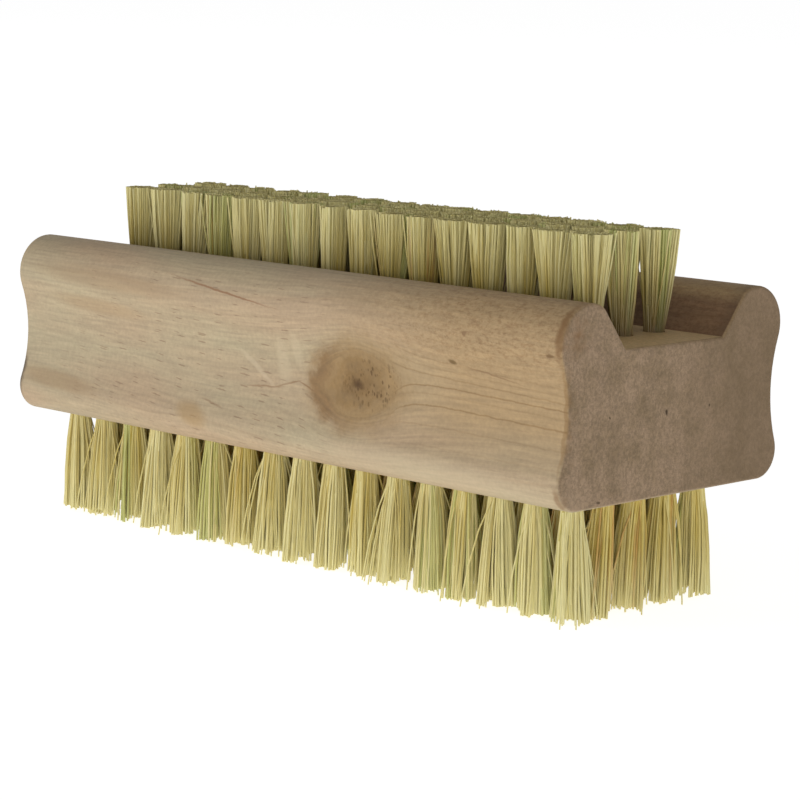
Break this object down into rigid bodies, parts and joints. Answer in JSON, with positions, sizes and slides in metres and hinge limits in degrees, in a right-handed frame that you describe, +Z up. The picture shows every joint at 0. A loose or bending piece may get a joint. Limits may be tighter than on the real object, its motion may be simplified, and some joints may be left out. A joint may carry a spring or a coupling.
{
  "type": "nail brush",
  "caption": "Two-sided wooden nail brush: a grooved block with finger hollows along its sides, a wide field of fibre bristles below and a narrow one in the top groove.",
  "frame": {"origin": "under the middle of the brush, on the plane of the lower bristle tips, which it stands on", "axes": "+X along the block, +Y across it, +Z up from the lower bristles through the block to the upper bristles"},
  "size_m": [0.095, 0.0392, 0.0432],
  "materials": {
    "block_wood": "sanded hardwood, not varnished",
    "bristle_fibre": "stiff plant fibre, trimmed",
    "anchor_wire": "drawn flat wire"
  },
  "bodies": {
    "root": {"block": "block_wood", "lower_bristles": "bristle_fibre", "upper_bristles": "bristle_fibre", "upper_anchor_row1_01": "anchor_wire", "upper_anchor_row1_02": "anchor_wire", "upper_anchor_row1_03": "anchor_wire", "upper_anchor_row1_04": "anchor_wire", "upper_anchor_row1_05": "anchor_wire", "upper_anchor_row1_06": "anchor_wire", "upper_anchor_row1_07": "anchor_wire", "upper_anchor_row1_08": "anchor_wire", "upper_anchor_row1_09": "anchor_wire", "upper_anchor_row1_10": "anchor_wire", "upper_anchor_row1_11": "anchor_wire", "upper_anchor_row1_12": "anchor_wire", "upper_anchor_row1_13": "anchor_wire", "upper_anchor_row1_14": "anchor_wire", "upper_anchor_row1_15": "anchor_wire", "upper_anchor_row1_16": "anchor_wire", "upper_anchor_row2_01": "anchor_wire", "upper_anchor_row2_02": "anchor_wire", "upper_anchor_row2_03": "anchor_wire", "upper_anchor_row2_04": "anchor_wire", "upper_anchor_row2_05": "anchor_wire", "upper_anchor_row2_06": "anchor_wire", "upper_anchor_row2_07": "anchor_wire", "upper_anchor_row2_08": "anchor_wire", "upper_anchor_row2_09": "anchor_wire", "upper_anchor_row2_10": "anchor_wire", "upper_anchor_row2_11": "anchor_wire", "upper_anchor_row2_12": "anchor_wire", "upper_anchor_row2_13": "anchor_wire", "upper_anchor_row2_14": "anchor_wire", "upper_anchor_row2_15": "anchor_wire", "upper_anchor_row2_16": "anchor_wire", "upper_anchor_row3_01": "anchor_wire", "upper_anchor_row3_02": "anchor_wire", "upper_anchor_row3_03": "anchor_wire", "upper_anchor_row3_04": "anchor_wire", "upper_anchor_row3_05": "anchor_wire", "upper_anchor_row3_06": "anchor_wire", "upper_anchor_row3_07": "anchor_wire", "upper_anchor_row3_08": "anchor_wire", "upper_anchor_row3_09": "anchor_wire", "upper_anchor_row3_10": "anchor_wire", "upper_anchor_row3_11": "anchor_wire", "upper_anchor_row3_12": "anchor_wire", "upper_anchor_row3_13": "anchor_wire", "upper_anchor_row3_14": "anchor_wire", "upper_anchor_row3_15": "anchor_wire", "upper_anchor_row3_16": "anchor_wire"}
  },
  "joints": []
}
